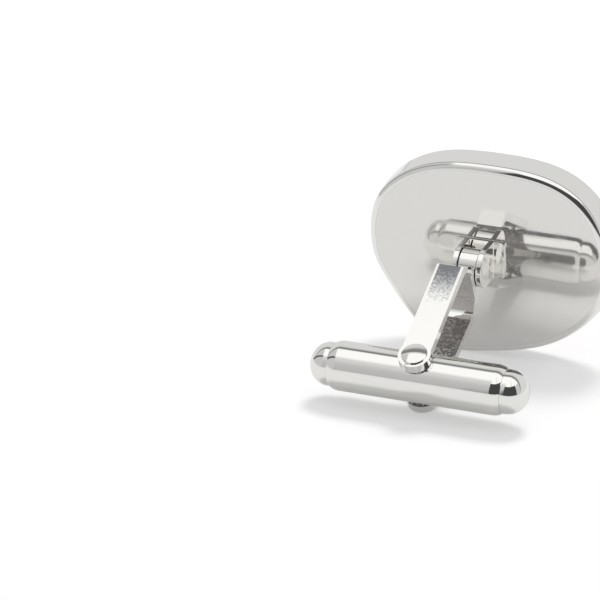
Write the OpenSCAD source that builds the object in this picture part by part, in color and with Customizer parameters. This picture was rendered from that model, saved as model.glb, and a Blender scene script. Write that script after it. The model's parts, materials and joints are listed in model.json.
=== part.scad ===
// A cufflink with a hinged, swivelling toggle.
// The head is a tapered cup: a flat back plate inside a polished band, with a
// coloured slab bedded behind the rim. A hinge on the back carries a bent strap
// stirrup, and the stirrup holds a hollow bar that turns on a pin and clicks
// into line with the arm, so that it passes through a buttonhole.
// It stands as it is laid on a table: on its band and on the end of the arm.
// X runs along the bar, Y from the face to the bar, and Z is up.

/* [Face] */
// Width of the face over the rim
face_w = 20.7; // [17:0.1:26]
// Height of the face over the rim
face_h = 16.9; // [14:0.1:22]
// Depth of the head from the rim to the back
head_t = 2.9; // [2.4:0.1:4]
// How far the band draws in towards the back, all round
band_taper = 0.14; // [0.08:0.01:0.3]
// Width of the polished rim round the slab
rim_w = 0.67; // [0.55:0.01:1]
// Rounding of the rim's outer edge
rim_round = 0.18; // [0.1:0.01:0.25]
// Rounding of the rim's inner edge
rim_inner_round = 0.08; // [0.04:0.01:0.15]
// Rounding of the band's back edge
back_round = 0.25; // [0.15:0.01:0.3]

/* [Back and slab] */
// Thickness of the back plate
plate_t = 0.8; // [0.6:0.05:1]
// Thickness of the adhesive bed under the slab
bed_t = 0.3; // [0.15:0.05:0.5]
// Depth of the slab's face behind the rim
slab_recess = 0.12; // [0.05:0.01:0.25]
// Broken edge round the slab's face
slab_edge = 0.07; // [0.04:0.01:0.15]
// Gap between the slab and the band
slab_gap = 0.04; // [0.02:0.01:0.1]

/* [Hinge] */
// Hinge's place sideways from the middle of the face
hinge_x = 0.6; // [0.2:0.05:1.6]
// Hinge's place above the middle of the face
hinge_z = 0.38; // [0:0.02:1.5]
// Height of the hinge axis above the back
hinge_h = 1.95; // [1.9:0.05:2.6]
// Radius of the ears round the hinge axis
ear_r = 1.6; // [1.3:0.05:1.65]
// Thickness of each ear
ear_t = 0.45; // [0.4:0.05:0.8]
// Thickness of the foot that joins the ears
foot_t = 0.35; // [0.25:0.05:0.45]
// How far the foot stands out beside each ear
foot_flange = 0.9; // [0.1:0.05:1.2]
// Rounding of the foot's corners
foot_round = 0.3; // [0.1:0.05:0.5]
// Diameter of the hinge pin
hinge_pin_d = 1; // [0.8:0.05:1.2]
// Diameter of the pin's riveted heads
rivet_d = 1.8; // [1.5:0.05:2]
// Height of the pin's riveted heads
rivet_h = 0.2; // [0.15:0.05:0.5]
// Width of the knuckle between the ears
knuckle_w = 1.5; // [1.2:0.05:2]
// Radius of the knuckle
knuckle_r = 1.45; // [1.2:0.05:1.45]
// Height of the neck that joins the knuckle to the stirrup
neck_h = 2.2; // [1.6:0.1:2.6]

/* [Arm] */
// Arm's place sideways from the middle of the face
arm_x = 1; // [0.6:0.05:1.6]
// Length of the arm from the hinge axis to the bar's pin
arm_reach = 12.3; // [12.1:0.1:15]
// Distance from the hinge axis to the back of the stirrup
web_back = 2.1; // [1.8:0.05:2.2]
// Thickness of the stirrup's strap
strap_t = 0.68; // [0.5:0.02:0.74]
// Width of the strap at the hinge end
strap_web_w = 1.9; // [1.8:0.05:2.2]
// Width of the strap where it meets its round ends
strap_leg_w = 2.35; // [2:0.05:2.5]
// Width of the strap's round ends
strap_end_w = 2.6; // [2.5:0.05:2.9]
// Angle at which each leg draws in towards the bar
leg_taper = 2.5; // [0:0.5:3]
// Clearance between the bar and each leg
leg_gap = 0.06; // [0.04:0.01:0.15]
// Outer radius of the stirrup's bends
bend_r = 1.2; // [0.9:0.05:1.4]

/* [Bar] */
// Length of the bar over its caps
bar_l = 18; // [15:0.1:18.4]
// Diameter of the bar's tube
bar_d = 4; // [3.6:0.05:4.1]
// Wall of the tube
tube_wall = 0.4; // [0.3:0.02:0.5]
// Length that each end cap shows
cap_l = 1.9; // [1.2:0.1:2.4]
// Diameter of the end caps
cap_d = 3.5; // [3.4:0.05:3.55]
// Straight length of a cap before its dome
cap_land = 0.35; // [0.1:0.05:0.6]
// Length over which the tube's ends are rounded
shoulder_l = 0.75; // [0.4:0.05:1]
// Step from the tube's end down to the cap
cap_step = 0.04; // [0.02:0.01:0.06]
// Length of the cap's spigot inside the tube
spigot_l = 1; // [0.6:0.1:1.6]
// Gap round the spigot
spigot_gap = 0.02; // [0.01:0.01:0.05]

/* [Swivel] */
// Diameter of the pin that the bar turns on
swivel_d = 1.5; // [1.3:0.05:1.6]
// Diameter of the swivel pin's heads
swivel_head_d = 2; // [1.8:0.05:2.2]
// Straight rim of the swivel pin's heads
swivel_rim_h = 0.12; // [0.09:0.01:0.2]
// Height of the dome on the swivel pin's heads
swivel_dome_h = 0.12; // [0.08:0.01:0.2]
// Size of the square cam on the swivel pin, over its flats
cam_flat = 1.2; // [1:0.05:1.25]
// Length of the square cam
cam_l = 2.2; // [1.8:0.1:2.4]
// Width of the click spring
spring_w = 1.6; // [1.2:0.1:1.7]
// Thickness of the click spring
spring_t = 0.15; // [0.1:0.01:0.2]
// Gap between the click spring and the corners of the cam
spring_gap = 0.07; // [0.04:0.01:0.1]
// Gap at the ends of the click spring
spring_end_gap = 0.03; // [0.02:0.01:0.1]

/* [Fits] */
// Running clearance round a pin that something turns on
turn_fit = 0.04; // [0.03:0.01:0.06]
// Clearance round a pin that is riveted in its hole
rivet_fit = 0.01; // [0.01:0.01:0.02]
// Clearance beside the knuckle, on each side
side_fit = 0.05; // [0.03:0.01:0.1]

/* [Hidden] */
$fn = 72;
// Overrun that lets every cut break cleanly through
over = 0.2;

// Control points of the face's outline, as shares of half its width and half its
// height, anticlockwise from the right as seen from the front
outline_shares = [[1.01, -0.07], [1.01, 0.58], [0.55, 0.99], [0.01, 1.01], [-0.57, 0.98],
    [-0.95, 0.57], [-1.03, -0.07], [-0.91, -0.44], [-0.52, -0.85], [0.04, -0.97],
    [0.46, -1.04], [0.88, -0.32]];
outline_n = 96;
round_n = 4;

// Uniform cubic B-spline through the control points, and its slope
function blend(u) = [pow(1 - u, 3) / 6, (3 * pow(u, 3) - 6 * u * u + 4) / 6,
    (-3 * pow(u, 3) + 3 * u * u + 3 * u + 1) / 6, pow(u, 3) / 6];
function blend_slope(u) = [-pow(1 - u, 2) / 2, (3 * u * u - 4 * u) / 2,
    (-3 * u * u + 2 * u + 1) / 2, u * u / 2];
function share(i) = outline_shares[(i + len(outline_shares)) % len(outline_shares)];
function mix4(i, w) = w[0] * share(i - 1) + w[1] * share(i) + w[2] * share(i + 1) + w[3] * share(i + 2);
function spline(t) = mix4(floor(t), blend(t - floor(t)));
function spline_slope(t) = mix4(floor(t), blend_slope(t - floor(t)));

steps = [for (k = [0 : outline_n - 1]) k * len(outline_shares) / outline_n];
raw = [for (t = steps) spline(t)];
raw_x = [for (p = raw) p[0]];
raw_y = [for (p = raw) p[1]];
unit_w = max(raw_x) - min(raw_x);
unit_h = max(raw_y) - min(raw_y);
mid_x = (max(raw_x) + min(raw_x)) / 2;
mid_y = (max(raw_y) + min(raw_y)) / 2;
size_x = face_w / unit_w;
size_y = face_h / unit_h;
places = [for (p = raw) [(p[0] - mid_x) * size_x, (p[1] - mid_y) * size_y]];
outward = [for (t = steps) let (s = spline_slope(t)) unit([s[1] * size_y, -s[0] * size_x])];
function unit(v) = v / norm(v);
// The face's outline moved outwards by d, or inwards where d is below zero
function outline(d) = [for (k = [0 : outline_n - 1]) places[k] + d * outward[k]];

// How the head stands: its band lies flat on the table, so its taper leans it
wall_run = head_t - back_round - rim_round;
lean = atan(band_taper / wall_run);
head_up = face_h / 2 * cos(lean) - (head_t - rim_round) * sin(lean);
hinge_up = head_up + hinge_z * cos(lean) - hinge_h * sin(lean);
// How the arm slopes: the lower leg's end touches the table
leg_end = arm_reach + strap_end_w / 2;
leg_out = leg_face(leg_end, 0);
slope = asin(hinge_up / norm([leg_end, leg_out])) - atan2(leg_out, leg_end);
// The origin is under the middle of the whole part
front_y = -(head_t - rim_round) * cos(lean) - (face_h / 2 - rim_round) * sin(lean) - rim_round;
hinge_out = hinge_h * cos(lean) + hinge_z * sin(lean);
back_y = hinge_out + leg_end * cos(slope) + leg_out * sin(slope);
head_y = -(front_y + back_y) / 2;

plate_inset = band_taper + back_round;
slab_inset = rim_w + slab_gap;
// The pin's heads lie in flat seats, as deep as the draw of the legs asks for
seat_w = leg_face(arm_reach + swivel_head_d / 2, 0);
ears_w = knuckle_w + 2 * side_fit + 2 * ear_t;
foot_w = ears_w + 2 * foot_flange;
bend_inner_r = bend_r - strap_t;
bore_r = bar_d / 2 - tube_wall;
cap_r = cap_d / 2;
tube_half = bar_l / 2 - cap_l;
tube_end_r = cap_r + cap_step;
spring_half = tube_half - spigot_l - spring_end_gap;
spring_near = swivel_d / 2 + spring_gap;
spring_far = sqrt(bore_r * bore_r - spring_w * spring_w / 4) - spring_t - spring_end_gap;
spring_n = 16;
dome_n = 12;
bend_n = 12;

silver = "silver";
slab_red = [0.54, 0.17, 0.15];

echo(lean = lean, slope = slope, hinge = [hinge_x, head_y + hinge_out, hinge_up], head_y = head_y);

// Frames: the head as it leans, its faces seen from the front, the hinge, the arm and the bar
module head_frame() {
    translate([0, head_y, head_up])
        rotate([-lean, 0, 0])
            children();
}

module face_frame() {
    head_frame()
        rotate([90, 0, 0])
            children();
}

module hinge_frame() {
    head_frame()
        translate([hinge_x, hinge_h, hinge_z])
            children();
}

module arm_frame() {
    translate([arm_x, head_y + hinge_out, hinge_up])
        rotate([-slope, 0, 0])
            children();
}

module bar_frame() {
    arm_frame()
        translate([0, arm_reach, 0])
            children();
}

// Draws a flat shape's x along Y and its y along Z, and gives it a width along X
module across(width) {
    rotate([90, 0, 90])
        linear_extrude(width, center = true)
            children();
}

// Turns a revolved shape's axis to X
module along_x() {
    rotate([0, 90, 0])
        children();
}

// Triangles between ring a and ring b of n points each
function strip(a, b, n) = [for (i = [0 : n - 1]) let (j = (i + 1) % n)
    each [[a * n + i, b * n + i, b * n + j], [a * n + i, b * n + j, a * n + j]]];
function ring(d, z) = [for (p = outline(d)) [p[0], p[1], z]];
function arc(cx, cy, r, from, to, n) = [for (k = [0 : n]) let (a = from + (to - from) * k / n)
    [cx + r * cos(a), cy + r * sin(a)]];

// A closed section of [offset, depth] points carried round the outline
module outline_loop(section) {
    m = len(section);
    points = [for (s = section) each ring(s[0], s[1])];
    faces = [for (k = [0 : m - 1]) each strip(k, (k + 1) % m, outline_n)];
    polyhedron(points, faces, convexity = 4);
}

// Rings of [offset, depth] stacked into a solid with flat ends
module outline_stack(rings) {
    m = len(rings);
    points = [for (s = rings) each ring(s[0], s[1])];
    sides = [for (k = [0 : m - 2]) each strip(k, k + 1, outline_n)];
    bottom = [for (i = [0 : outline_n - 1]) i];
    top = [for (i = [0 : outline_n - 1]) m * outline_n - 1 - i];
    polyhedron(points, concat(sides, [bottom, top]), convexity = 4);
}

module back_plate() {
    color(silver)
        face_frame()
            linear_extrude(plate_t)
                polygon(outline(-plate_inset));
}

// The band's section: rounded back edge, tapered wall, rounded rim, and a rebate for the plate
module bezel_band() {
    back_edge = arc(-plate_inset, back_round, back_round, -90, 0, round_n);
    rim_edge = arc(-rim_round, head_t - rim_round, rim_round, 0, 90, round_n);
    inner_edge = arc(rim_inner_round - rim_w, head_t - rim_inner_round, rim_inner_round, 90, 180, round_n);
    seat = [[-rim_w, plate_t], [-plate_inset, plate_t]];
    color(silver)
        face_frame()
            outline_loop(concat(back_edge, rim_edge, inner_edge, seat));
}

module adhesive_bed() {
    color("tan")
        face_frame()
            translate([0, 0, plate_t])
                linear_extrude(bed_t)
                    polygon(outline(-slab_inset));
}

module inlay_slab() {
    slab_top = head_t - slab_recess;
    color(slab_red)
        face_frame()
            outline_stack([[-slab_inset, plate_t + bed_t], [-slab_inset, slab_top - slab_edge],
                [-slab_inset - slab_edge, slab_top]]);
}

// Foot and two ears, drilled for the hinge pin
module hinge_base() {
    color(silver)
        hinge_frame()
            difference() {
                union() {
                    hinge_foot();
                    for (side = [-1, 1])
                        translate([side * (ears_w - ear_t) / 2, 0, 0])
                            across(ear_t)
                                ear_outline();
                }
                along_x()
                    cylinder(r = hinge_pin_d / 2 + rivet_fit, h = ears_w + over, center = true);
            }
}

module hinge_foot() {
    translate([0, -hinge_h, 0])
        rotate([-90, 0, 0])
            linear_extrude(foot_t)
                union() {
                    square([foot_w - 2 * foot_round, 2 * ear_r], center = true);
                    square([foot_w, 2 * (ear_r - foot_round)], center = true);
                    for (sx = [-1, 1], sy = [-1, 1])
                        translate([sx * (foot_w / 2 - foot_round), sy * (ear_r - foot_round)])
                            circle(foot_round);
                }
}

// An ear stands on the foot's straight edge and is round over the pin
module ear_outline() {
    stand = ear_r - foot_round;
    rise = hinge_h - foot_t;
    union() {
        circle(ear_r);
        polygon([[-hinge_h, -stand], [-hinge_h, stand], [-rise, ear_r], [0, ear_r], [0, -ear_r], [-rise, -ear_r]]);
    }
}

module hinge_pin() {
    shank = ears_w / 2;
    sphere_r = (rivet_d * rivet_d / 4 + rivet_h * rivet_h) / (2 * rivet_h);
    open_a = asin(rivet_d / 2 / sphere_r);
    dome = arc(0, shank + rivet_h - sphere_r, sphere_r, 90 - open_a, 90, round_n * 2);
    half = concat([[0, 0], [hinge_pin_d / 2, 0], [hinge_pin_d / 2, shank], [rivet_d / 2, shank]],
        [for (k = [1 : len(dome) - 2]) dome[k]], [[0, shank + rivet_h]]);
    color(silver)
        hinge_frame()
            along_x()
                union() {
                    rotate_extrude()
                        polygon(half);
                    mirror([0, 0, 1])
                        rotate_extrude()
                            polygon(half);
                }
}

// Half the stirrup's height at a place y along the arm, at a depth below its outer faces
function leg_face(y, depth) = (bar_d / 2 + leg_gap + strap_t - depth) / cos(leg_taper)
    + (arm_reach - y) * tan(leg_taper);

// The stirrup from the side, at a depth below its outer faces: a web at y0, two bends of
// radius r, and two legs that draw in as far as y1
module bent_outline(y0, y1, depth, r) {
    bend_up = leg_face(y0 + r, depth) - r / cos(leg_taper);
    upper = concat(arc(y0 + r, bend_up, r, 180, 90 - leg_taper, bend_n), [[y1, leg_face(y1, depth)]]);
    lower = [for (k = [len(upper) - 1 : -1 : 0]) [upper[k][0], -upper[k][1]]];
    polygon(concat(upper, lower));
}

module arm_stirrup() {
    web_up = leg_face(web_back, 0);
    color(silver)
        arm_frame()
            difference() {
                intersection() {
                    across(strap_end_w)
                        difference() {
                            bent_outline(web_back, leg_end, 0, bend_r);
                            bent_outline(web_back + strap_t, leg_end + over, strap_t, bend_inner_r);
                        }
                    linear_extrude(2 * web_up + over, center = true)
                        strap_outline();
                }
                translate([0, arm_reach, 0])
                    cylinder(r = swivel_d / 2 + rivet_fit, h = 2 * web_up, center = true);
                for (side = [-1, 1])
                    translate([0, arm_reach, side * (seat_w + strap_t / 2)])
                        cylinder(r = swivel_head_d / 2 + turn_fit, h = strap_t, center = true);
            }
}

// The strap seen flat: it widens towards its round ends
module strap_outline() {
    web = strap_web_w / 2;
    leg = strap_leg_w / 2;
    polygon([[-web, web_back - over], [web, web_back - over], [leg, arm_reach], [-leg, arm_reach]]);
    translate([0, arm_reach])
        circle(strap_end_w / 2);
}

// The knuckle stands under the hinge, so it may lie to one side of the strap
module arm_knuckle() {
    color(silver)
        arm_frame()
            translate([hinge_x - arm_x, 0, 0])
                across(knuckle_w)
                    difference() {
                        union() {
                            circle(knuckle_r);
                            translate([0, -neck_h / 2])
                                square([web_back, neck_h]);
                        }
                        circle(hinge_pin_d / 2 + turn_fit);
                    }
}

// Round in the legs and in the tube's holes, square between them for the click spring
module swivel_pin() {
    r = swivel_d / 2;
    head_r = swivel_head_d / 2;
    sphere_r = (head_r * head_r + swivel_dome_h * swivel_dome_h) / (2 * swivel_dome_h);
    open_a = asin(head_r / sphere_r);
    rim_z = seat_w + swivel_rim_h;
    dome = arc(0, rim_z + swivel_dome_h - sphere_r, sphere_r, 90 - open_a, 90, round_n * 2);
    half = concat([[0, cam_l / 2], [r, cam_l / 2], [r, seat_w], [head_r, seat_w], [head_r, rim_z]],
        [for (k = [1 : len(dome) - 2]) dome[k]], [[0, rim_z + swivel_dome_h]]);
    color(silver)
        bar_frame()
            union() {
                for (side = [0, 1])
                    mirror([0, 0, side])
                        rotate_extrude()
                            polygon(half);
                intersection() {
                    cylinder(r = r, h = cam_l, center = true);
                    cube([cam_flat, cam_flat, cam_l], center = true);
                }
            }
}

module toggle_tube() {
    drop = bar_d / 2 - tube_end_r;
    shoulder_r = (shoulder_l * shoulder_l + drop * drop) / (2 * drop);
    shoulder_a = asin(shoulder_l / shoulder_r);
    shoulder = arc(bar_d / 2 - shoulder_r, tube_half - shoulder_l, shoulder_r, 0, shoulder_a, round_n * 2);
    half = concat([[bore_r, 0], [bar_d / 2, 0]], shoulder, [[bore_r, tube_half]]);
    color(silver)
        bar_frame()
            difference() {
                along_x()
                    union() {
                        rotate_extrude()
                            polygon(half);
                        mirror([0, 0, 1])
                            rotate_extrude()
                                polygon(half);
                    }
                cylinder(r = swivel_d / 2 + turn_fit, h = bar_d + over, center = true);
            }
}

// Domed plug with a spigot, drawn for the right-hand end
module end_cap() {
    spigot_r = bore_r - spigot_gap;
    dome_l = cap_l - cap_land;
    dome = [for (k = [1 : dome_n - 1]) let (a = 90 * k / dome_n)
        [cap_r * cos(a), tube_half + cap_land + dome_l * sin(a)]];
    spigot = [[0, tube_half - spigot_l], [spigot_r, tube_half - spigot_l], [spigot_r, tube_half]];
    land = [[cap_r, tube_half], [cap_r, tube_half + cap_land]];
    along_x()
        rotate_extrude()
            polygon(concat(spigot, land, dome, [[0, bar_l / 2]]));
}

module end_cap_left() {
    color(silver)
        bar_frame()
            mirror([1, 0, 0])
                end_cap();
}

module end_cap_right() {
    color(silver)
        bar_frame()
            end_cap();
}

// A bowed leaf that lies against the cam at its middle and on the bore at its ends
module click_spring() {
    bow = [for (k = [-spring_n : spring_n]) let (s = k / spring_n)
        [s * spring_half, spring_near + (spring_far - spring_near) * s * s]];
    outer = [for (k = [len(bow) - 1 : -1 : 0]) bow[k] + [0, spring_t]];
    color("dimgray")
        bar_frame()
            linear_extrude(spring_w, center = true)
                polygon(concat(bow, outer));
}

back_plate();
bezel_band();
adhesive_bed();
inlay_slab();
hinge_base();
hinge_pin();
arm_stirrup();
arm_knuckle();
swivel_pin();
toggle_tube();
end_cap_left();
end_cap_right();
click_spring();
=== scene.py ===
# %% [markdown]
# # A cufflink seen from behind
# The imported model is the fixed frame: it says where the head, the arm and the bar are and
# how they move. Everything that shows is modelled again here, with round edges and a real
# finish, in exactly the same places.
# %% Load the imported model
import json
import math
import bmesh
import bpy
from mathutils import Matrix, Vector


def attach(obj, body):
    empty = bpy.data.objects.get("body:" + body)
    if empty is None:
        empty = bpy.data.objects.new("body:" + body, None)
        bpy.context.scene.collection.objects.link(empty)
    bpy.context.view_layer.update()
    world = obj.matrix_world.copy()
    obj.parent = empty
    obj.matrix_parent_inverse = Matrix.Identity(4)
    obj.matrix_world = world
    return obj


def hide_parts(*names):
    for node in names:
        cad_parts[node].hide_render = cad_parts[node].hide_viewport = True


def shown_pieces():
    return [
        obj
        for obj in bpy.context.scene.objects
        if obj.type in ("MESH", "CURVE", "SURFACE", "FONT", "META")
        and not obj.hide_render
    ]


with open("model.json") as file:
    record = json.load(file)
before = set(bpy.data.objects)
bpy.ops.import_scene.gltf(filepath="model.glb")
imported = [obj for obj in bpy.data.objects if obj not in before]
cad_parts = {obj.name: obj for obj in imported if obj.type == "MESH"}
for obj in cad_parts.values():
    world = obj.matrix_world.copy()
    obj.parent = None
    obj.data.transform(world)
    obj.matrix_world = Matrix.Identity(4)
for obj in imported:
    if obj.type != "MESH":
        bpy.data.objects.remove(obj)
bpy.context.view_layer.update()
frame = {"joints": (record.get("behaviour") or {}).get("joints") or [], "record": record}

bpy.ops.object.select_all(action="DESELECT")

# %% [markdown]
# ## Where things are
# Polished metal shows every error of place, so no place is typed in twice. The hinge pin
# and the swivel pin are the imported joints, and the back plate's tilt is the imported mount.
# Each piece is modelled in millimetres in the frame of what carries it, and one matrix
# then brings it to metres in the model's own frame.
# %% Frames of the head, the hinge, the arm and the bar
MM = 0.001
ACROSS = Vector((1, 0, 0))


def frame_at(origin, out):
    """The frame whose x runs along the bar, whose y is out, and whose unit is one millimetre."""
    out = Vector(out).normalized()
    turn = Matrix((ACROSS, out, ACROSS.cross(out))).transposed().to_4x4()
    return Matrix.Translation(origin) @ turn @ Matrix.Scale(MM, 4)


joints = {joint["name"]: joint for joint in frame["joints"]}
mounts = {mount["name"]: mount for mount in frame["record"]["mounts"]}
rear = mounts["cuff_face"]
hinge_at = Vector(joints["arm_fold"]["pos_m"])
swivel_at = Vector(joints["toggle_swivel"]["pos_m"])
arm_root = Vector((swivel_at.x, hinge_at.y, hinge_at.z))
plate_middle = Vector(rear["pos_m"])
plate_middle.x = 0
HEAD = frame_at(plate_middle, rear["axis"])
HINGE = frame_at(hinge_at, rear["axis"])
ARM = frame_at(arm_root, swivel_at - arm_root)
BAR = frame_at(swivel_at, swivel_at - arm_root)
FACE = HEAD @ Matrix.Rotation(math.radians(90), 4, "X")
hinge_h = (HEAD.inverted() @ hinge_at).y
hinge_aside = (hinge_at.x - arm_root.x) / MM
arm_reach = (swivel_at - arm_root).length / MM
print(f"hinge axis {hinge_h:.2f} mm above the plate, bar {arm_reach:.2f} mm from the hinge")
print(f"hinge {-hinge_aside:.2f} mm to the side of the arm's middle")

# %% [markdown]
# ## Camera
# A long lens from well back keeps the bar's two ends nearly the same size. The camera looks
# down by about twenty degrees from behind and to the left, close enough for the head to run
# out of the picture on the right, as it does in the photograph.
# %% Camera
LENS = 200
CLIP_START = 0.01
AIM = Vector((13.83, 0, 5.07)) * MM
DISTANCE = 269.5 * MM
AZIMUTH = math.radians(158.19)
ELEVATION = math.radians(21.08)
ROLL = math.radians(0.39)

forward = Vector((math.sin(AZIMUTH) * math.cos(ELEVATION),
                  math.cos(AZIMUTH) * math.cos(ELEVATION), -math.sin(ELEVATION)))
level = forward.cross(Vector((0, 0, 1))).normalized()
right = Matrix.Rotation(-ROLL, 3, forward) @ level
bpy.ops.object.camera_add(location=AIM - DISTANCE * forward)
camera = bpy.context.object
camera.name = "camera"
camera.rotation_euler = Matrix((right, right.cross(forward), -forward)).transposed().to_euler()
camera.data.lens = LENS
camera.data.clip_start = CLIP_START
bpy.context.scene.camera = camera
print("camera at", [round(x / MM, 1) for x in camera.location], "mm")

# %% [markdown]
# ## Tools of the bench
# A piece starts as a primitive and is shaped in edit mode, where an operator acts on what
# is selected. So there are small helpers that add an object, open and close it for editing,
# and select by place or by normal.
# %% Add, edit and select


def activate(piece):
    """Make this object the only selected one and the active one."""
    bpy.ops.object.select_all(action="DESELECT")
    piece.select_set(True)
    bpy.context.view_layer.objects.active = piece


def add(name, operator, **settings):
    """Add a primitive with a name."""
    bpy.ops.object.select_all(action="DESELECT")
    operator(**settings)
    piece = bpy.context.object
    piece.name = name
    return piece


def edit(piece, kind="FACE"):
    """Open an object for editing, with all of it selected."""
    activate(piece)
    bpy.ops.object.mode_set(mode="EDIT")
    bpy.ops.mesh.select_mode(type=kind)
    bpy.ops.mesh.select_all(action="SELECT")


def done():
    """Leave edit mode."""
    bpy.ops.object.mode_set(mode="OBJECT")


def pick(piece, kind, wanted):
    """Select the vertices, edges or faces that pass a test, and return how many did."""
    shape = bmesh.from_edit_mesh(piece.data)
    bpy.ops.mesh.select_all(action="DESELECT")
    chosen = [item for item in getattr(shape, kind) if wanted(item)]
    for item in chosen:
        item.select_set(True)
    bmesh.update_edit_mesh(piece.data)
    return len(chosen)


# %% [markdown]
# Most pieces of a cufflink are either cut from sheet or turned on a lathe. Both start with
# a line that is drawn point by point: one vertex, extruded again and again. Filled and
# extruded, a closed line is a piece cut from sheet, and spun round an axis, an open line is
# a turned one.
# %% Draw, cut out and turn
TINY = 0.0005
TURN_STEPS = 96


def arc(x, y, radius, start, end, steps):
    """Points on a circle from one angle to another, in degrees."""
    angles = [math.radians(start + (end - start) * k / steps) for k in range(steps + 1)]
    return [(x + radius * math.cos(a), y + radius * math.sin(a)) for a in angles]


def draw_line(name, points):
    """Draw an open line through the points by extruding one vertex."""
    piece = add(name, bpy.ops.mesh.primitive_plane_add, size=1)
    edit(piece, "VERT")
    bpy.ops.mesh.merge(type="CENTER")
    bpy.ops.transform.translate(value=points[0])
    for start, end in zip(points, points[1:]):
        step = Vector(end) - Vector(start)
        bpy.ops.mesh.extrude_region_move(TRANSFORM_OT_translate={"value": step})
    bpy.ops.mesh.select_all(action="SELECT")
    return piece


def outward():
    """Join what touches and point every face outwards."""
    bpy.ops.mesh.select_all(action="SELECT")
    bpy.ops.mesh.remove_doubles(threshold=TINY)
    bpy.ops.mesh.normals_make_consistent(inside=False)


def cut_out(name, outline, low, high, axis):
    """Fill a closed outline and extrude it from low to high along an axis."""
    places = {
        "X": lambda a, b: (low, a, b),
        "Y": lambda a, b: (b, low, a),
        "Z": lambda a, b: (a, b, low),
    }
    piece = draw_line(name, [places[axis](a, b) for a, b in outline])
    bpy.ops.mesh.edge_face_add()
    run = Vector([high - low if axis == letter else 0 for letter in "XYZ"])
    bpy.ops.mesh.extrude_region_move(TRANSFORM_OT_translate={"value": run})
    outward()
    done()
    return piece


def turn(name, profile, axis):
    """Spin a profile of (along, radius) points round an axis."""
    places = {"X": lambda a, r: (a, 0, r), "Z": lambda a, r: (r, 0, a)}
    piece = draw_line(name, [places[axis](a, r) for a, r in profile])
    line = tuple(1 if axis == letter else 0 for letter in "XYZ")
    bpy.ops.mesh.spin(steps=TURN_STEPS, angle=math.tau, center=(0, 0, 0), axis=line)
    outward()
    done()
    return piece


# %% [markdown]
# Holes are drilled and ears are soldered on with Boolean modifiers. A real edge is never
# sharp: the polishing mop rounds it a little, and that thin round catches the light as a
# bright line. A Bevel modifier makes it, and weighted normals keep the flats flat.
# %% Join, drill and break edges
SMOOTH_ANGLE = math.radians(35)
BEVEL_ANGLE = math.radians(40)


def apply_modifiers(piece):
    """Apply every modifier, first to last."""
    activate(piece)
    for modifier in list(piece.modifiers):
        bpy.ops.object.modifier_apply(modifier=modifier.name)


def combine(piece, tool, operation):
    """Join a tool to a piece, cut it away or keep what they share, and delete the tool."""
    boolean = piece.modifiers.new("combine", "BOOLEAN")
    boolean.operation = operation
    boolean.solver = "EXACT"
    boolean.object = tool
    apply_modifiers(piece)
    bpy.data.objects.remove(tool)


def drill(piece, radius, length, turned=(0, 0, 0), place=(0, 0, 0)):
    """Drill a hole of some radius through a piece."""
    bit = add("drill", bpy.ops.mesh.primitive_cylinder_add, vertices=TURN_STEPS, radius=radius,
              depth=length, rotation=turned, location=place)
    combine(piece, bit, "DIFFERENCE")


def smooth(piece):
    """Shade round faces smooth and keep flat ones flat."""
    activate(piece)
    bpy.ops.object.shade_smooth_by_angle(angle=SMOOTH_ANGLE)
    weighted = piece.modifiers.new("flats", "WEIGHTED_NORMAL")
    weighted.keep_sharp = True
    apply_modifiers(piece)


def break_edges(piece, width, segments=3):
    """Round every sharp edge a little, then shade the piece."""
    bevel = piece.modifiers.new("edges", "BEVEL")
    bevel.width = width
    bevel.segments = segments
    bevel.limit_method = "ANGLE"
    bevel.angle_limit = BEVEL_ANGLE
    apply_modifiers(piece)
    smooth(piece)


def seat(piece, where, body, slot, *nodes):
    """Put a finished piece in its place, on its body, instead of its CAD nodes."""
    piece.matrix_world = where @ piece.matrix_world
    activate(piece)
    bpy.ops.object.transform_apply(location=True, rotation=True, scale=True)
    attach(piece, body)
    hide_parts(*nodes)
    faces = len(piece.data.polygons)
    print(f"{piece.name}: {faces} faces on {body}")


# %% [markdown]
# ## The face's outline
# The head is a soft pebble shape with no straight side. It could be a circle pushed about,
# but a few control points on a closed NURBS curve give a cleaner line, as a designer draws
# it. The shares are of half the width and half the height, seen from the front.
# %% Outline curve
FACE_W = 20.7
FACE_H = 16.9
CURVE_ORDER = 4
CURVE_STEPS = 16
OUTLINE_SHARES = [
    (1.01, -0.07), (1.01, 0.58), (0.55, 0.99), (0.01, 1.01),
    (-0.57, 0.98), (-0.95, 0.57), (-1.03, -0.07), (-0.91, -0.44),
    (-0.52, -0.85), (0.04, -0.97), (0.46, -1.04), (0.88, -0.32),
]


def outline_curve(name, middle=(0, 0), size=(FACE_W / 2, FACE_H / 2)):
    """A closed curve through the shares, scaled by size and moved by middle."""
    piece = add(name, bpy.ops.curve.primitive_nurbs_path_add)
    spline = piece.data.splines[0]
    spline.points.add(len(OUTLINE_SHARES) - len(spline.points))
    for point, (u, v) in zip(spline.points, OUTLINE_SHARES):
        point.co = ((u - middle[0]) * size[0], (v - middle[1]) * size[1], 0, 1)
    piece.data.dimensions = "2D"
    piece.data.fill_mode = "NONE"
    piece.data.resolution_u = CURVE_STEPS
    spline.order_u = CURVE_ORDER
    spline.use_endpoint_u = False
    spline.use_cyclic_u = True
    return piece


def as_mesh(piece):
    """Turn a curve into a mesh."""
    activate(piece)
    bpy.ops.object.convert(target="MESH")
    return piece


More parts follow.
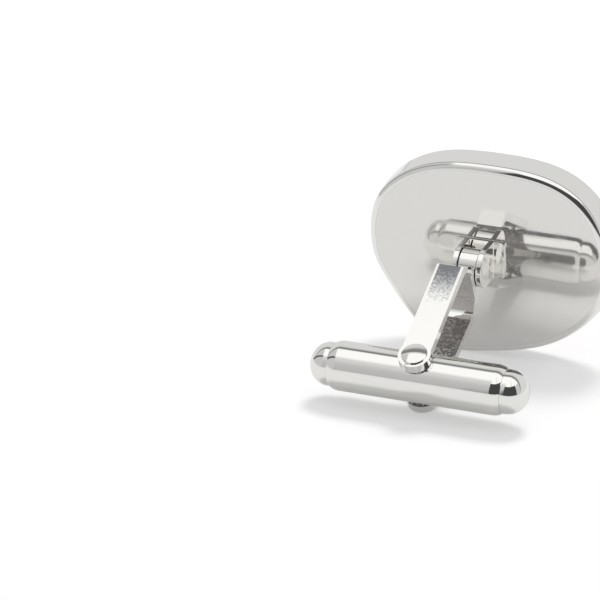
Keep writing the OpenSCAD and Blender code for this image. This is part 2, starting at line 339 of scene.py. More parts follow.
# The control points lie outside the curve, so it is measured once and then fitted.
trial = as_mesh(outline_curve("trial", size=(1, 1)))
us = [vertex.co.x for vertex in trial.data.vertices]
vs = [vertex.co.y for vertex in trial.data.vertices]
bpy.data.objects.remove(trial)
outline_fit = {
    "middle": ((max(us) + min(us)) / 2, (max(vs) + min(vs)) / 2),
    "size": (FACE_W / (max(us) - min(us)), FACE_H / (max(vs) - min(vs))),
}
print("outline of", len(us), "points, fitted by", [round(x, 3) for x in outline_fit["size"]])

# %% [markdown]
# ## The band
# A jeweller bends a strip of silver round a former, solders it shut and files the rim. So
# the band is one section carried round the outline: a curve with a second curve as its
# bevel. The section has the rounded back edge, the wall that draws in a little, and the
# rim, flat in front and rounded on both edges.
# %% Bezel band
HEAD_T = 2.9
BAND_TAPER = 0.14
RIM_W = 0.67
RIM_ROUND = 0.18
RIM_INNER_ROUND = 0.08
BACK_ROUND = 0.6
PLATE_T = 0.8
PLATE_INSET = BAND_TAPER + BACK_ROUND
ROUND_STEPS = 8

rim_inner = RIM_INNER_ROUND - RIM_W
section_line = (arc(-PLATE_INSET, BACK_ROUND, BACK_ROUND, -90, 0, ROUND_STEPS)
                + arc(-RIM_ROUND, HEAD_T - RIM_ROUND, RIM_ROUND, 0, 90, ROUND_STEPS)
                + arc(rim_inner, HEAD_T - RIM_INNER_ROUND, RIM_INNER_ROUND, 90, 180, ROUND_STEPS)
                + [(-RIM_W, PLATE_T), (-PLATE_INSET, PLATE_T)])
section = draw_line("section", [(-offset, depth, 0) for offset, depth in section_line])
pick(section, "verts", lambda v: len(v.link_edges) == 1)
bpy.ops.mesh.edge_face_add()
done()
activate(section)
bpy.ops.object.convert(target="CURVE")
band = outline_curve("bezel_band", **outline_fit)
band.data.bevel_mode = "OBJECT"
band.data.bevel_object = section
as_mesh(band)
bpy.data.objects.remove(section)
edit(band)
outward()
done()
print("band measures", [round(x, 3) for x in band.dimensions], "mm")
smooth(band)
seat(band, FACE, "head", "polished_metal", "bezel_band")

# %% [markdown]
# ## Plate and slab
# The plate that closes the back and the red slab in front are both sawn to the band's
# inside. Each starts as the outline, filled, and is inset to its own edge, which keeps the
# gap to the band even all the way round.
# %% Sheet sawn to the outline


def sawn(name, inset, low, high):
    """A flat piece whose edge lies inside the outline by the inset."""
    piece = as_mesh(outline_curve(name, **outline_fit))
    edit(piece, "VERT")
    bpy.ops.mesh.edge_face_add()
    bpy.ops.mesh.select_mode(type="FACE")
    bpy.ops.mesh.select_all(action="SELECT")
    bpy.ops.mesh.inset(thickness=inset, depth=0)
    bpy.ops.mesh.select_all(action="INVERT")
    bpy.ops.mesh.delete(type="FACE")
    bpy.ops.mesh.select_all(action="SELECT")
    bpy.ops.transform.translate(value=(0, 0, low))
    bpy.ops.mesh.extrude_region_move(TRANSFORM_OT_translate={"value": (0, 0, high - low)})
    outward()
    done()
    return piece


# %% [markdown]
# The back plate lies in the step of the band, flush with its rounded back edge. Its own edge
# is only just broken, so the joint shows as one thin dark line.
# %% Back plate
PLATE_EDGE = 0.02
plate = sawn("back_plate", PLATE_INSET, 0, PLATE_T)
break_edges(plate, PLATE_EDGE, 2)
seat(plate, FACE, "head", "polished_metal", "back_plate")

# %% [markdown]
# The slab lies on a bed of glue, a little behind the rim, so that the rim takes the knocks.
# Resin is softer than silver, so polishing rounds its edge more than the plate's.
# %% Inlay slab
BED_T = 0.3
SLAB_RECESS = 0.12
SLAB_EDGE = 0.07
SLAB_GAP = 0.04
slab = sawn("inlay_slab", RIM_W + SLAB_GAP, PLATE_T + BED_T, HEAD_T - SLAB_RECESS)
break_edges(slab, SLAB_EDGE)
seat(slab, FACE, "head", "red_inlay", "inlay_slab")

# %% [markdown]
# ## The hinge
# Two ears stand on a foot that is soldered to the plate, and a pin is riveted over through
# them and the knuckle between. The ears are cut from sheet, round over the pin.
# %% Hinge base
EAR_R = 1.6
EAR_T = 0.45
FOOT_T = 0.35
FOOT_FLANGE = 0.9
FOOT_ROUND = 0.3
HINGE_PIN_D = 1.0
KNUCKLE_W = 1.5
SIDE_FIT = 0.05
RIVET_FIT = 0.01
TURN_FIT = 0.04
HINGE_EDGE = 0.05
DRILL_L = 10
ALONG_X = (0, math.radians(90), 0)

ears_w = KNUCKLE_W + 2 * SIDE_FIT + 2 * EAR_T
foot_x = ears_w / 2 + FOOT_FLANGE - FOOT_ROUND
foot_z = EAR_R - FOOT_ROUND
foot_line = (arc(foot_z, foot_x, FOOT_ROUND, 0, 90, ROUND_STEPS)
             + arc(-foot_z, foot_x, FOOT_ROUND, 90, 180, ROUND_STEPS)
             + arc(-foot_z, -foot_x, FOOT_ROUND, 180, 270, ROUND_STEPS)
             + arc(foot_z, -foot_x, FOOT_ROUND, 270, 360, ROUND_STEPS))
ear_line = (arc(0, 0, EAR_R, -90, 90, TURN_STEPS // 2)
            + [(FOOT_T - hinge_h, EAR_R), (-hinge_h, foot_z)]
            + [(-hinge_h, -foot_z), (FOOT_T - hinge_h, -EAR_R)])
hinge = cut_out("hinge_base", foot_line, -hinge_h, FOOT_T - hinge_h, "Y")
for side in (-1, 1):
    middle = side * (ears_w - EAR_T) / 2
    ear = cut_out("ear", ear_line, middle - EAR_T / 2, middle + EAR_T / 2, "X")
    combine(hinge, ear, "UNION")
drill(hinge, HINGE_PIN_D / 2 + RIVET_FIT, DRILL_L, turned=ALONG_X)
break_edges(hinge, HINGE_EDGE)
seat(hinge, HINGE, "head", "polished_metal", "hinge_base")

# %% [markdown]
# The pin is a plain wire whose ends are hammered over into low domes. A cylinder with two
# scaled spheres would leave a seam at each dome, so pin and domes are turned as one profile.
# %% Hinge pin
RIVET_D = 1.8
RIVET_H = 0.2


def dome(base, radius, height, steps):
    """A cap of a sphere from its edge to its top, as (along, radius) points."""
    sphere = (radius * radius + height * height) / (2 * height)
    opening = math.degrees(math.asin(radius / sphere))
    points = arc(base + height - sphere, 0, sphere, opening, 0, steps)
    return [(along, max(out, 0)) for along, out in points]


def both_ways(half):
    """A profile and its mirror image, from one end to the other."""
    return [(-along, out) for along, out in reversed(half)] + half


shank = ears_w / 2
pin_half = [(shank, HINGE_PIN_D / 2)] + dome(shank, RIVET_D / 2, RIVET_H, ROUND_STEPS * 2)
pin = turn("hinge_pin", both_ways(pin_half), "X")
smooth(pin)
seat(pin, HINGE, "head", "polished_metal", "hinge_pin")

# %% [markdown]
# ## The arm
# The knuckle turns on the pin, and its neck is soldered to the stirrup. It is sawn from
# sheet as one outline, an eye with its neck, and drilled for the pin.
# %% Knuckle
KNUCKLE_R = 1.45
NECK_H = 2.2
WEB_BACK = 1.75
neck_angle = math.degrees(math.asin(NECK_H / 2 / KNUCKLE_R))
knuckle_line = (arc(0, 0, KNUCKLE_R, neck_angle, 360 - neck_angle, TURN_STEPS)
                + [(WEB_BACK, -NECK_H / 2), (WEB_BACK, NECK_H / 2)])
knuckle_low = hinge_aside - KNUCKLE_W / 2
knuckle_high = hinge_aside + KNUCKLE_W / 2
knuckle = cut_out("arm_knuckle", knuckle_line, knuckle_low, knuckle_high, "X")
drill(knuckle, HINGE_PIN_D / 2 + TURN_FIT, DRILL_L, turned=ALONG_X)
break_edges(knuckle, HINGE_EDGE)
seat(knuckle, ARM, "arm", "polished_metal", "arm_knuckle")

# %% [markdown]
# The stirrup is one strip of silver with round ends, and each corner is folded in two flat
# steps. It could be folded here too, but two outlines are simpler and truer: the folded
# strip seen from the side, cut by the strip seen flat.
# %% Stirrup
BAR_D = 4
STRAP_T = 0.68
STRAP_WEB_W = 2.2
STRAP_LEG_W = 2.35
STRAP_END_W = 2.6
LEG_TAPER = math.radians(2.5)
LEG_GAP = 0.06
WEB_T = 0.35
CORNER_AT = 3.05
RAMP_AT = 3.56
RAMP_L = 0.72
RAMP_ANGLE = math.radians(13)
SWIVEL_D = 1.5
SWIVEL_HEAD_D = 2.0
STRAP_EDGE = 0.14
OVER = 0.5


def leg_face(along, depth=0.0):
    """Half the stirrup's height at a place along the arm, at a depth below its outer faces."""
    at_bar = (BAR_D / 2 + LEG_GAP + STRAP_T - depth) / math.cos(LEG_TAPER)
    return at_bar + (arm_reach - along) * math.tan(LEG_TAPER)


def down_to_web(along, height, web):
    """Where a corner at forty-five degrees meets one face of the web."""
    return (web, height - (along - web))


leg_end = arm_reach + STRAP_END_W / 2
ramp_end = (RAMP_AT - RAMP_L * math.cos(RAMP_ANGLE),
            leg_face(RAMP_AT, STRAP_T) - RAMP_L * math.sin(RAMP_ANGLE))
outer = [
    (leg_end, leg_face(leg_end)),
    (CORNER_AT, leg_face(CORNER_AT)),
    down_to_web(CORNER_AT, leg_face(CORNER_AT), WEB_BACK),
]
inner = [
    (leg_end, leg_face(leg_end, STRAP_T)),
    (RAMP_AT, leg_face(RAMP_AT, STRAP_T)),
    ramp_end,
    down_to_web(*ramp_end, WEB_BACK + WEB_T),
]
side_line = (outer + [(y, -z) for y, z in reversed(outer)]
             + [(y, -z) for y, z in inner] + list(reversed(inner)))
end_r = STRAP_END_W / 2
leg_r = STRAP_LEG_W / 2
eye_turn = math.degrees(math.acos(leg_r / end_r))
round_end = arc(0, arm_reach, end_r, -eye_turn, 180 + eye_turn, TURN_STEPS // 2)
flat_line = [(-STRAP_WEB_W / 2, WEB_BACK - OVER), (STRAP_WEB_W / 2, WEB_BACK - OVER)] + round_end
stirrup = cut_out("arm_stirrup", side_line, -end_r - OVER, end_r + OVER, "X")
blank = cut_out("blank", flat_line, -leg_face(0) - OVER, leg_face(0) + OVER, "Z")
combine(stirrup, blank, "INTERSECT")
drill(stirrup, SWIVEL_D / 2 + RIVET_FIT, DRILL_L, place=(0, arm_reach, 0))
seat_up = leg_face(arm_reach + SWIVEL_HEAD_D / 2)
for side in (-1, 1):
    seat_middle = (0, arm_reach, side * (seat_up + STRAP_T / 2))
    drill(stirrup, SWIVEL_HEAD_D / 2 + TURN_FIT, STRAP_T, place=seat_middle)
break_edges(stirrup, STRAP_EDGE)
seat(stirrup, ARM, "arm", "polished_metal", "arm_stirrup")

# %% [markdown]
# The swivel pin holds the bar between the legs. Each head is a low dome in its own flat
# seat, and the pin is turned as one profile, like the hinge pin.
# %% Swivel pin
SWIVEL_RIM_H = 0.12
SWIVEL_DOME_H = 0.12
swivel_half = ([(seat_up, SWIVEL_D / 2), (seat_up, SWIVEL_HEAD_D / 2)]
               + dome(seat_up + SWIVEL_RIM_H, SWIVEL_HEAD_D / 2, SWIVEL_DOME_H, ROUND_STEPS * 2))
swivel = turn("swivel_pin", both_ways(swivel_half), "Z")
smooth(swivel)
seat(swivel, BAR, "arm", "polished_metal", "swivel_pin")

# %% [markdown]
# ## The bar
# The bar is a length of tube with its ends spun in a little and drilled across for the pin.
# It is turned from its profile, hollow as the real one, because the hole shows its wall. The
# profile has no ring near the hole, so that the drill leaves a clean edge.
# %% Tube
BAR_L = 18
TUBE_WALL = 0.4
CAP_L = 1.9
CAP_D = 3.5
CAP_LAND = 0.35
SHOULDER_L = 0.75
CAP_STEP = 0.04
SPIGOT_L = 1
SPIGOT_GAP = 0.02
HOLE_LAND = 0.4

bore_r = BAR_D / 2 - TUBE_WALL
tube_half = BAR_L / 2 - CAP_L
drop = BAR_D / 2 - (CAP_D / 2 + CAP_STEP)
shoulder_r = (SHOULDER_L ** 2 + drop ** 2) / (2 * drop)
shoulder_a = math.degrees(math.asin(SHOULDER_L / shoulder_r))
shoulder = arc(tube_half - SHOULDER_L, BAR_D / 2 - shoulder_r, shoulder_r,
               90, 90 - shoulder_a, 2 * ROUND_STEPS)
first_ring = SWIVEL_D / 2 + HOLE_LAND
tube_half_line = [(first_ring, BAR_D / 2)] + shoulder + [(tube_half, bore_r), (first_ring, bore_r)]
tube = turn("toggle_tube", both_ways(tube_half_line) + [(-first_ring, bore_r)], "X")
print("tube measures", [round(x, 3) for x in tube.dimensions], "mm")
drill(tube, SWIVEL_D / 2 + TURN_FIT, DRILL_L)
smooth(tube)
seat(tube, BAR, "toggle", "polished_metal", "toggle_tube")

# %% [markdown]
# A domed plug with a spigot closes each end. Its dome is half an ellipse, and a small
# chamfer at the joint draws the thin line between plug and tube. Both are turned from one
# profile, run the other way for the left one.
# %% End caps
CAP_CHAMFER = 0.06
CAP_STEPS = 3 * ROUND_STEPS
cap_line = [
    (tube_half - SPIGOT_L, 0),
    (tube_half - SPIGOT_L, bore_r - SPIGOT_GAP),
    (tube_half, bore_r - SPIGOT_GAP),
    (tube_half, CAP_D / 2 - CAP_CHAMFER),
    (tube_half + CAP_CHAMFER, CAP_D / 2),
]
for step in range(CAP_STEPS + 1):
    turned = math.radians(90) * step / CAP_STEPS
    along = tube_half + CAP_LAND + (CAP_L - CAP_LAND) * math.sin(turned)
    cap_line.append((along, CAP_D / 2 * math.cos(turned)))
for name, side in (("end_cap_left", -1), ("end_cap_right", 1)):
    cap = turn(name, [(side * along, max(out, 0)) for along, out in cap_line], "X")
    smooth(cap)
    seat(cap, BAR, "toggle", "polished_metal", name)

# %% [markdown]
# ## Materials
# Every pattern is made of nodes and is sized in millimetres, so that it holds from any
# distance. Colours are written as sRGB and turned to linear in one place.
# %% Nodes and colours
PER_MM = 1 / MM


def linear(code):
    """An sRGB hex colour as the linear colour that Blender's sockets take."""
    values = [int(code[i:i + 2], 16) / 255 for i in (1, 3, 5)]
    return [v / 12.92 if v <= 0.04045 else ((v + 0.055) / 1.055) ** 2.4 for v in values] + [1]


def node(tree, kind, options, inputs):
    """Add a node, set its options, and fill each input with a value or a link."""
    made = tree.nodes.new("ShaderNode" + kind)
    for key, value in options.items():
        setattr(made, key, value)
    for key, value in inputs.items():
        if isinstance(value, bpy.types.NodeSocket):
            tree.links.new(value, made.inputs[key])
        else:
            made.inputs[key].default_value = value
    return made


def material(name):
    """A new material, its node tree and its Principled shader."""
    made = bpy.data.materials.new(name)
    made.use_nodes = True
    return made, made.node_tree, made.node_tree.nodes["Principled BSDF"]


def noise(tree, size_mm, detail=2.0, stretch=(1, 1, 1), turned=(0, 0, 0)):
    """Noise with features of a size in millimetres, stretched along an axis."""
    place = node(tree, "TexCoord", {}, {}).outputs["Object"]
    scale = [PER_MM / (size_mm * part) for part in stretch]
    place = node(tree, "Mapping", {"vector_type": "TEXTURE"}, {"Vector": place, "Rotation": turned})
    spread = node(tree, "VectorMath", {"operation": "MULTIPLY"}, {0: place.outputs[0], 1: scale})
    inputs = {"Vector": spread.outputs[0], "Scale": 1, "Detail": detail}
    return node(tree, "TexNoise", {}, inputs).outputs[0]


def fit(tree, value, from_low, from_high, to_low, to_high):
    """Carry a value from one range to another and hold it there."""
    inputs = {0: value, 1: from_low, 2: from_high, 3: to_low, 4: to_high}
    return node(tree, "MapRange", {}, inputs).outputs[0]


def math_node(tree, operation, first, second):
    """The result of one sum."""
    return node(tree, "Math", {"operation": operation}, {0: first, 1: second}).outputs[0]


def blend(tree, share, first, second):
    """Colours mixed by a share."""
    return node(tree, "Mix", {"data_type": "RGBA"}, {0: share, 6: first, 7: second}).outputs[2]


def bump(tree, height, depth_mm, normal=None):
    """A surface raised by a height of some depth in millimetres."""
    inputs = {"Height": height, "Distance": depth_mm * MM, "Strength": 1.0}
    if normal:
        inputs["Normal"] = normal
    return node(tree, "Bump", {}, inputs).outputs[0]


# %% [markdown]
# ### Silver
# The metal is silver under a thin plate of rhodium, which stays a bright, white mirror. A
# perfect mirror would look like glass, so it has the three faults of polishing by hand: a
# slow waviness, a haze that varies, and fine wiping scratches. The scratches are drawn
# coarser than they are, because real ones would be too fine to show.
# %% Polished silver
SILVER = linear("#F6F5F2")
WAVE_SIZE = 3.5
WAVE_DEPTH = 0.006
HAZE_SIZE = 1.6
SCRATCH_W = 0.05
SCRATCH_STRETCH = (1, 30, 1)
SCRATCH_TURN = (0.3, 0.9, 0.4)
SCRATCH_ROUGH = 0.06


def polish(tree, shader):
    """Give a shader the mirror polish, and return its roughness and its waviness."""
    haze = fit(tree, noise(tree, HAZE_SIZE, 4), 0.35, 0.7, 0.012, 0.035)
    lines = noise(tree, SCRATCH_W, 1, SCRATCH_STRETCH, SCRATCH_TURN)
    scratch = fit(tree, lines, 0.66, 0.74, 0, SCRATCH_ROUGH)
    rough = math_node(tree, "ADD", haze, scratch)
    wave = bump(tree, noise(tree, WAVE_SIZE, 1), WAVE_DEPTH)
    tree.links.new(wave, shader.inputs["Normal"])
    shader.inputs["Base Color"].default_value = SILVER
    shader.inputs["Metallic"].default_value = 1
    return rough, wave


silver, tree, shader = material("rhodium_plated_silver")
rough, wave = polish(tree, shader)
tree.links.new(rough, shader.inputs["Roughness"])
print(silver.name, "waves by", WAVE_DEPTH, "mm every", WAVE_SIZE, "mm")

# %% [markdown]
# Where a finish changes from place to place, its material has to know where it is. Both
# helpers read the model's own frame: one measures along the arm, the other to the side.
# %% Places on the object
ARM_OUT = (swivel_at - arm_root).normalized()


def along_arm(tree):
    """How far a point lies along the arm from the hinge, in millimetres."""
    place = node(tree, "TexCoord", {}, {}).outputs["Object"]
    from_root = node(tree, "VectorMath", {"operation": "SUBTRACT"}, {0: place, 1: arm_root}).outputs[0]
    out = {0: from_root, 1: ARM_OUT * PER_MM}
    return node(tree, "VectorMath", {"operation": "DOT_PRODUCT"}, out).outputs["Value"]


def aside(tree, middle):
    """How far a point lies to the side of a middle, in millimetres."""
    place = node(tree, "TexCoord", {}, {}).outputs["Object"]
    side = node(tree, "SeparateXYZ", {}, {0: place}).outputs["X"]
    return math_node(tree, "SUBTRACT", math_node(tree, "MULTIPLY", side, PER_MM), middle)


print("arm points along", [round(x, 3) for x in ARM_OUT])

# %% [markdown]
# The mop can't reach the inner faces of the legs, so they keep the frosted skin that the
# acid bath leaves after soldering. Towards the bar it gets rougher, with pale sparkles. Pits
# cut into the mesh would need millions of faces, so a bump makes them. A sparkle scatters
# light like powder, and a lower Metallic stands for that. The colour is painted light: a dark
# grey near the hinge is painted shade in the hollow between the legs, and the pale sparkles,
# which thicken towards the bar, are painted glints.
# %% Frosted silver with painted shade and glints
SHADE_AND_FROST_FROM = 6.5
SHADE_AND_FROST_TO = 9.5
PIT_SIZE = 0.19
PIT_DEPTH = 0.14
PAINTED_GLINT_SIZE = 0.24

frost_with_painted_shade, tree, shader = material("frosted_silver_inside_the_stirrup")
# Darker near the hinge and paler towards the bar: painted shade between the legs, and deeper pits.
frost_and_painted_light_to_the_bar = fit(tree, along_arm(tree), SHADE_AND_FROST_FROM, SHADE_AND_FROST_TO, 0.25, 1.0)
painted_glint_spots = fit(tree, noise(tree, PAINTED_GLINT_SIZE, 2), 0.5, 0.6, 0.0, 1.0)
painted_glints = math_node(tree, "MULTIPLY", painted_glint_spots, frost_and_painted_light_to_the_bar)
deeper = fit(tree, frost_and_painted_light_to_the_bar, 0, 1, 0.3, 1.0)
pits = math_node(tree, "MULTIPLY", noise(tree, PIT_SIZE, 3), deeper)
tree.links.new(bump(tree, pits, PIT_DEPTH), shader.inputs["Normal"])
tree.links.new(fit(tree, painted_glints, 0, 1, 0.3, 0.1), shader.inputs["Roughness"])
# Dark grey, painted shade, turning white at the sparkles, painted glints.
tree.links.new(blend(tree, painted_glints, linear("#8E8A87"), linear("#FFFFFF")), shader.inputs["Base Color"])
tree.links.new(fit(tree, painted_glints, 0, 1, 1, 0.15), shader.inputs["Metallic"])
print(frost_with_painted_shade.name, "gets rougher from", SHADE_AND_FROST_FROM, "to", SHADE_AND_FROST_TO, "mm along the arm")

# %% [markdown]
# The corners inside the stirrup are rubbed with grit by hand, which leaves a fine satin. It
# looks evenly pale and mirrors nothing sharply, which a low Metallic and a middling
# roughness give.
# %% Satin silver
SATIN_GRAIN = 0.1

satin, tree, shader = material("satin_silver_in_the_corners")
shader.inputs["Base Color"].default_value = linear("#F6F3EF")
shader.inputs["Metallic"].default_value = 0.25
rough = fit(tree, noise(tree, SATIN_GRAIN, 3), 0.3, 0.7, 0.24, 0.32)
tree.links.new(rough, shader.inputs["Roughness"])
print(satin.name, "has a grain of", SATIN_GRAIN, "mm")

# %% [markdown]
# The outer face of the upper leg is polished, but the mop stopped short of its root, where a
# frosted patch is left. The patch is also painted grey, a painted dark reflection of the
# shaded hinge and plate. It ends raggedly and keeps off the rounded edges, which stay bright.
# %% Silver with a frosted root and a painted dark reflection
LEG_FLAT = 0.86
EDGE_BLUR = 0.08
PATCH_FROM = 3.7
PATCH_TO = 6.7
PATCH_RAGGED = 0.8
PATCH_GRAIN = 0.12
PATCH_DEPTH = 0.012
PATCH_ROUGH = 0.2

frosted_root_with_painted_reflection, tree, shader = material("silver_with_a_frosted_root")
rough, wave = polish(tree, shader)
rags = fit(tree, noise(tree, 0.2, 5), 0.3, 0.7, -PATCH_RAGGED, PATCH_RAGGED)
ragged = math_node(tree, "ADD", along_arm(tree), rags)
off_middle = math_node(tree, "ABSOLUTE", aside(tree, arm_root.x / MM), 0)
off_edge = fit(tree, off_middle, LEG_FLAT, LEG_FLAT + EDGE_BLUR, 1, 0)
frost_and_painted_reflection_patch = math_node(tree, "MULTIPLY", fit(tree, ragged, PATCH_FROM, PATCH_TO, 1.0, 0.0), off_edge)
grain = math_node(tree, "MULTIPLY", noise(tree, PATCH_GRAIN, 3), frost_and_painted_reflection_patch)
tree.links.new(bump(tree, grain, PATCH_DEPTH, wave), shader.inputs["Normal"])
rough = math_node(tree, "ADD", rough, fit(tree, frost_and_painted_reflection_patch, 0, 1, 0, PATCH_ROUGH))
tree.links.new(rough, shader.inputs["Roughness"])
# Grey over the patch: a painted dark reflection on top of the real frost.
tree.links.new(blend(tree, frost_and_painted_reflection_patch, SILVER, linear("#8F9296")), shader.inputs["Base Color"])
print(frosted_root_with_painted_reflection.name, "is frosted up to", PATCH_TO, "mm along the arm")

# %% [markdown]
# The back plate is polished by hand too, which leaves it very slightly domed and a little
# hazy, so it mirrors the bar shorter and softer than a flat mirror would. A dome that slight
# could be pressed into the mesh, but a bump bends the mirror image just as well and keeps
# the plate flat in its seat. The haze is some roughness and a little scatter.
# %% Polished plate
DOME_R = 180
DOME_MIDDLE = 6
PLATE_HAZE = 0.02
PLATE_METAL = 0.78

domed, tree, shader = material("hand_polished_silver_plate")
rough, wave = polish(tree, shader)
tree.links.new(math_node(tree, "ADD", rough, PLATE_HAZE), shader.inputs["Roughness"])
shader.inputs["Metallic"].default_value = PLATE_METAL
across = aside(tree, DOME_MIDDLE)
sag = math_node(tree, "DIVIDE", math_node(tree, "MULTIPLY", across, across), -2 * DOME_R)
tree.links.new(bump(tree, sag, 1, wave), shader.inputs["Normal"])
print(domed.name, "has a radius of", DOME_R, "mm")

# %% [markdown]
# ### The red slab and what is behind it
# The slab is brick-red enamel paint on resin. The photograph shows it wiped sideways: many
# fine pale scratches, thicker in the upper third, and some pale specks in a slightly clouded
# red. One stretched noise draws the scratches, and two broad ones thin them out.
# %% Red slab
STREAK_W = 0.07
STREAK_STRETCH = (40, 1, 1)
STREAK_DEPTH = -0.004
CLOUD_SIZE = 3.0
BLOTCH_SIZE = 1.2
SPECK_SIZE = 0.22
WIPED_FROM = 6
WIPED_TO = 14

red, tree, shader = material("scratched_brick_red_paint")
scratches = fit(tree, noise(tree, STREAK_W, 3, STREAK_STRETCH), 0.56, 0.7, 0, 1)
clouds = fit(tree, noise(tree, CLOUD_SIZE, 4), 0.35, 0.7, 0.15, 0.8)
place = node(tree, "TexCoord", {}, {}).outputs["Object"]
up = node(tree, "SeparateXYZ", {}, {0: place}).outputs["Z"]
upper = fit(tree, up, WIPED_FROM * MM, WIPED_TO * MM, 0.25, 1)
pale = math_node(tree, "MULTIPLY", math_node(tree, "MULTIPLY", scratches, clouds), upper)
specks = fit(tree, noise(tree, SPECK_SIZE, 2), 0.7, 0.74, 0, 0.8)
blotches = fit(tree, noise(tree, BLOTCH_SIZE, 5), 0.3, 0.7, 0, 1)
body = blend(tree, blotches, linear("#7E241F"), linear("#93322A"))
streaked = blend(tree, pale, body, linear("#C98F84"))
tree.links.new(blend(tree, specks, streaked, linear("#C9857A")), shader.inputs["Base Color"])
tree.links.new(fit(tree, pale, 0, 1, 0.34, 0.6), shader.inputs["Roughness"])
tree.links.new(bump(tree, scratches, STREAK_DEPTH), shader.inputs["Normal"])
shader.inputs["Coat Weight"].default_value = 0.25
shader.inputs["Coat Roughness"].default_value = 0.2
print(red.name, "is wiped from", WIPED_FROM, "to", WIPED_TO, "mm above the table")

# %% [markdown]
# The glue behind the slab and the leaf spring inside the bar don't show. Both are guesses
# and have the plain look of their stuff: cloudy, yellowish epoxy, and strip steel with the
# long fine lines of the rolls.
# %% Glue and spring
GLUE_CLOUD = 0.8
ROLL_LINE_W = 0.06
ROLL_STRETCH = (20, 1, 1)

glue, tree, shader = material("cured_epoxy")
shader.inputs["Base Color"].default_value = linear("#BFAE85")
rough = fit(tree, noise(tree, GLUE_CLOUD), 0.3, 0.7, 0.3, 0.5)
tree.links.new(rough, shader.inputs["Roughness"])
spring, tree, shader = material("rolled_spring_steel")
shader.inputs["Base Color"].default_value = linear("#8C8D90")
shader.inputs["Metallic"].default_value = 1
rough = fit(tree, noise(tree, ROLL_LINE_W, 2, ROLL_STRETCH), 0.3, 0.7, 0.22, 0.4)
tree.links.new(rough, shader.inputs["Roughness"])
print("made", glue.name, "and", spring.name)

# %% [markdown]
# Each piece takes one finish, and the stirrup has four. Its faces are sorted by which way
# they look in the arm's own frame: out from the upper leg, in from either leg, in at a
# corner, or anything else.
# %% Paint the pieces
# A modelled piece shares its name with a packed one, so Blender adds a number after a point.
SQUARE_ON = 0.9
TURNED_OUT = 0.3

finishes = {"adhesive_bed": glue, "click_spring": spring, "inlay_slab": red, "back_plate": domed}
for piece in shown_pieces():
    piece.data.materials.clear()
    piece.data.materials.append(finishes.get(piece.name.split(".")[0], silver))
    print(piece.name, "is", piece.data.materials[0].name)
strap_finishes = [silver, frost_with_painted_shade, frosted_root_with_painted_reflection, satin]
for finish in strap_finishes[1:]:
    stirrup.data.materials.append(finish)
to_arm = ARM.inverted()
arm_up = (ARM.to_3x3() @ Vector((0, 0, 1))).normalized()
counts = {finish.name: 0 for finish in strap_finishes}
for face in stirrup.data.polygons:
    facing = face.normal.dot(arm_up)
    spot = to_arm @ face.center
    in_corner = abs(spot.x) < LEG_FLAT and WEB_BACK + WEB_T / 2 < spot.y < ramp_end[0]
    chosen = silver
    if abs(facing) > SQUARE_ON and facing * spot.z < 0 and spot.y > RAMP_AT:
        chosen = frost_with_painted_shade
    if facing > SQUARE_ON and spot.z > 0:
        chosen = frosted_root_with_painted_reflection
    if in_corner and face.normal.dot(ARM_OUT) > TURNED_OUT:
        chosen = satin
    face.material_index = strap_finishes.index(chosen)
    counts[chosen.name] += 1
print("stirrup faces", counts)

# %% [markdown]
# ## Studio
# Polished metal shows the room more than itself. The room here is a light tent over a white
# table. The photograph's background is bleached to pure white, and a card that is lit that
# brightly would lose its shadows. So the card glows for the camera, and a little in mirror
# images, and its glow lights nothing.
# %% Table
TABLE_SIZE = 4
CARD_ROUGH = 0.9
BLEACH = 0.4
FILL = 0.2

floor = add("floor", bpy.ops.mesh.primitive_plane_add, size=TABLE_SIZE)
white, tree, shader = material("white_card")
shader.inputs["Base Color"].default_value = linear("#C8C8C8")
shader.inputs["Roughness"].default_value = CARD_ROUGH
shader.inputs["Emission Color"].default_value = linear("#FFFFFF")
seen = node(tree, "LightPath", {}, {})
bleached = math_node(tree, "MULTIPLY", seen.outputs["Is Camera Ray"], BLEACH)
filled = math_node(tree, "MULTIPLY", seen.outputs["Is Glossy Ray"], FILL)
tree.links.new(math_node(tree, "ADD", bleached, filled), shader.inputs["Emission Strength"])
floor.data.materials.append(white)
print("table", TABLE_SIZE, "m wide")

# %% [markdown]
# The tent could be built of real cards, but painted on the world by direction it can't cast
# a shadow or block the camera, and each card is placed in degrees. So one helper turns a
# slope into degrees, one marks a range with soft edges, and one lays a card over the rest
# where a column and a row of the tent cross.
# %% Directions and cards
BRIGHTEST = 1.5
world = bpy.data.worlds.new("studio")
bpy.context.scene.world = world
world.use_nodes = True
tree = world.node_tree
way = node(tree, "TexCoord", {}, {}).outputs["Generated"]
parts = node(tree, "SeparateXYZ", {}, {0: way})
x, y, z = (parts.outputs[letter] for letter in "XYZ")


def angle(over, under):
    """The angle of a slope, in degrees."""
    turned = math_node(tree, "ARCTAN2", over, under)
    return math_node(tree, "MULTIPLY", turned, math.degrees(1))


def between(value, low, high, edge):
    """One inside a range and nothing outside it."""
    above = fit(tree, value, low - edge, low, 0, 1)
    return math_node(tree, "MULTIPLY", above, fit(tree, value, high, high + edge, 1, 0))


def grey(light):
    """A brightness as a share of the brightest, so that no colour passes one."""
    return [light / BRIGHTEST] * 3 + [1]


def place_card(below, columns, rows, light):
    """Put a card of one brightness where a column and a row of the tent cross."""
    share = math_node(tree, "MULTIPLY", columns, rows)
    return blend(tree, share, below, grey(light))


over_bar = angle(z, y)
sideways = angle(x, y)
level_way = node(tree, "VectorMath", {"operation": "MULTIPLY"}, {0: way, 1: (1, 1, 0)}).outputs[0]
run = node(tree, "VectorMath", {"operation": "LENGTH"}, {0: level_way}).outputs["Value"]
height = angle(z, run)
print("world", world.name)

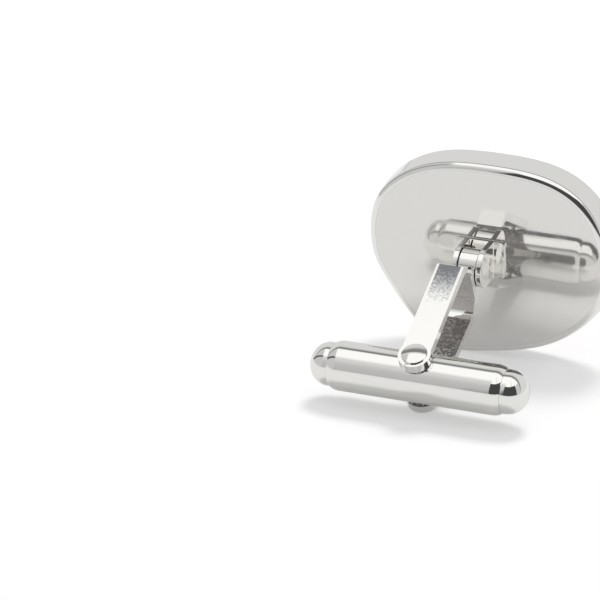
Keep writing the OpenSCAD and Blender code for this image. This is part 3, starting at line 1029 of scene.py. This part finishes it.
# %% [markdown]
# A ramp goes over the bar like an arch, from the camera's side, over the top, to beyond the
# head: a dim front, a wide bright panel overhead, a dark gap and a pale back. The gap draws
# the thin dark lines along the bar. Five cards lie over the ramp, each on top of the ones
# before: the walls beside the bar, the panel that the legs mirror, its seam, the dark
# opening under it, and a pole at the right.
# %% Tent
TENT = [
    (0, 0.64), (21, 0.68), (30, 0.72), (37, 0.785), (44, 0.87), (54, 0.94), (60, 1.2), (65, 1.36),
    (99, 1.36), (103, 0.8), (105, 0.3), (112, 0.3), (117, 0.7), (122, 0.9), (127, 0.93), (180, 0.93),
]
TENT_SHARE = 0.77
WALL_LIGHT = 0.76
PANEL_LIGHT = 1.36
SEAM_LIGHT = 0.85
HOLE_LIGHT = 0.08
POLE_LIGHT = 0.15
POLE_ACROSS = Vector((-0.155, -0.78, 0.607)).normalized()

ramp = node(tree, "ValToRGB", {}, {0: math_node(tree, "DIVIDE", over_bar, 180)})
stops = ramp.color_ramp.elements
while len(stops) < len(TENT):
    stops.new(0.5)
# A stop changes its place in the list as it moves, so all are moved before any is coloured.
for stop, (degrees, light) in zip(stops, TENT):
    stop.position = degrees / 180
for stop, (degrees, light) in zip(stops, TENT):
    stop.color = grey(light)
front_half = between(over_bar, 0, 99, 4)
beside = math_node(tree, "SUBTRACT", 1, between(x, -0.70, 0.42, 0.05))
right_half = between(sideways, -68, 15.5, 2)
off_pole = node(tree, "VectorMath", {"operation": "DOT_PRODUCT"}, {0: way, 1: POLE_ACROSS})
pole = between(off_pole.outputs["Value"], -0.05, 0.05, 0.03)
cards = [
    (front_half, beside, WALL_LIGHT),
    (right_half, between(height, 46, 70, 2), PANEL_LIGHT),
    (between(sideways, -42, -38, 1.5), between(height, 46, 80, 2), SEAM_LIGHT),
    (right_half, between(height, 0, 45, 1.5), HOLE_LIGHT),
    (pole, fit(tree, x, 0.38, 0.5, 0, 1), POLE_LIGHT),
]
tent = ramp.outputs[0]
for columns, rows, light in cards:
    tent = place_card(tent, columns, rows, light)
background = tree.nodes["Background"]
tree.links.new(tent, background.inputs["Color"])
background.inputs["Strength"].default_value = BRIGHTEST * TENT_SHARE
print("tent of", len(stops), "stops and", len(cards), "cards")

# %% [markdown]
# One small lamp above and a little beyond the head gives the shadow its direction. A wide
# one would blur it away. It is hidden from mirror images, where only the tent shows, and the
# plain Standard view keeps white as white.
# %% Lamp
LAMP_TILT = math.radians(24)
LAMP_AT = 0.4
LAMP_SIZE = 0.12
LAMP_ENERGY = 0.85

bpy.ops.object.light_add(type="AREA", rotation=(LAMP_TILT, 0, 0),
                         location=(0, -LAMP_AT * math.sin(LAMP_TILT), LAMP_AT * math.cos(LAMP_TILT)))
lamp = bpy.context.object
lamp.name = "lamp"
lamp.data.size = LAMP_SIZE
lamp.data.energy = LAMP_ENERGY
lamp.visible_glossy = False
bpy.context.scene.view_settings.view_transform = "Standard"
print("lamp", LAMP_AT / MM, "mm from the table's middle")
